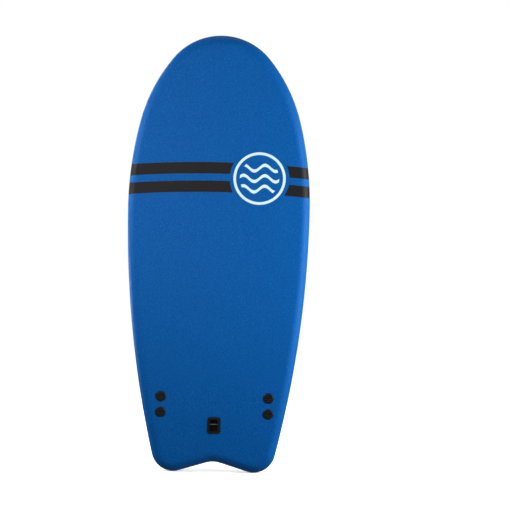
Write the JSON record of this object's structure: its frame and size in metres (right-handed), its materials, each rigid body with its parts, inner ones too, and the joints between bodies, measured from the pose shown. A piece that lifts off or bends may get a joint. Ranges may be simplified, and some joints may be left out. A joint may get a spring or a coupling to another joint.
{
  "type": "surfboard",
  "caption": "Short wide soft-top surfboard with a swallow tail, foam deck, slick bottom, a leash plug and removable fins in bolted fin boxes.",
  "frame": {"origin": "under the middle of the board, in the plane of the two tail tips and in the plane of the bottom's flat stretch", "axes": "+Z from the tail to the nose, +Y out of the bottom (the deck faces -Y), +X to the rider's right"},
  "size_m": [0.574, 0.2121, 1.3719],
  "materials": {
    "deck_foam": "closed-cell foam skin, heathered, satin",
    "slick_sheet": "smooth glossy sheet",
    "core_foam": "moulded bead foam",
    "dense_foam": "fine-celled block",
    "stringer_wood": "sanded ply",
    "black_plastic": "moulded nylon, fine grain",
    "fin_plastic": "moulded, polished",
    "steel": "stainless"
  },
  "bodies": {
    "board": {"foam_core": "core_foam", "stringer_left": "stringer_wood", "stringer_right": "stringer_wood", "deck_skin": "deck_foam", "bottom_slick": "slick_sheet", "leash_anchor_block": "dense_foam", "leash_cup": "black_plastic", "leash_bar": "steel", "fin_box_left": "black_plastic", "fin_box_right": "black_plastic"},
    "fin_left_body": {"fin_left": "fin_plastic"},
    "deck_bolt_left_front_body": {"deck_bolt_left_front": "black_plastic"},
    "fin_screw_left_front_body": {"fin_screw_left_front": "steel"},
    "deck_bolt_left_rear_body": {"deck_bolt_left_rear": "black_plastic"},
    "fin_screw_left_rear_body": {"fin_screw_left_rear": "steel"},
    "fin_right_body": {"fin_right": "fin_plastic"},
    "deck_bolt_right_front_body": {"deck_bolt_right_front": "black_plastic"},
    "fin_screw_right_front_body": {"fin_screw_right_front": "steel"},
    "deck_bolt_right_rear_body": {"deck_bolt_right_rear": "black_plastic"},
    "fin_screw_right_rear_body": {"fin_screw_right_rear": "steel"}
  },
  "joints": [
    {"name": "fin_left_pull", "type": "slide", "parent": "board", "child": "fin_left_body", "axis": [0, 1, 0], "range_m": [0, 0.015]},
    {"name": "deck_bolt_left_front_unscrew", "type": "slide", "parent": "board", "child": "deck_bolt_left_front_body", "axis": [0, -1, 0], "range_m": [0, 0.034]},
    {"name": "fin_screw_left_front_unscrew", "type": "slide", "parent": "board", "child": "fin_screw_left_front_body", "axis": [0.6428, 0.766, 0], "range_m": [0, 0.004]},
    {"name": "deck_bolt_left_rear_unscrew", "type": "slide", "parent": "board", "child": "deck_bolt_left_rear_body", "axis": [0, -1, 0], "range_m": [0, 0.034]},
    {"name": "fin_screw_left_rear_unscrew", "type": "slide", "parent": "board", "child": "fin_screw_left_rear_body", "axis": [-0.6428, 0.766, 0], "range_m": [0, 0.004]},
    {"name": "fin_right_pull", "type": "slide", "parent": "board", "child": "fin_right_body", "axis": [0, 1, 0], "range_m": [0, 0.015]},
    {"name": "deck_bolt_right_front_unscrew", "type": "slide", "parent": "board", "child": "deck_bolt_right_front_body", "axis": [0, -1, 0], "range_m": [0, 0.034]},
    {"name": "fin_screw_right_front_unscrew", "type": "slide", "parent": "board", "child": "fin_screw_right_front_body", "axis": [-0.6428, 0.766, 0], "range_m": [0, 0.004]},
    {"name": "deck_bolt_right_rear_unscrew", "type": "slide", "parent": "board", "child": "deck_bolt_right_rear_body", "axis": [0, -1, 0], "range_m": [0, 0.034]},
    {"name": "fin_screw_right_rear_unscrew", "type": "slide", "parent": "board", "child": "fin_screw_right_rear_body", "axis": [0.6428, 0.766, 0], "range_m": [0, 0.004]}
  ]
}
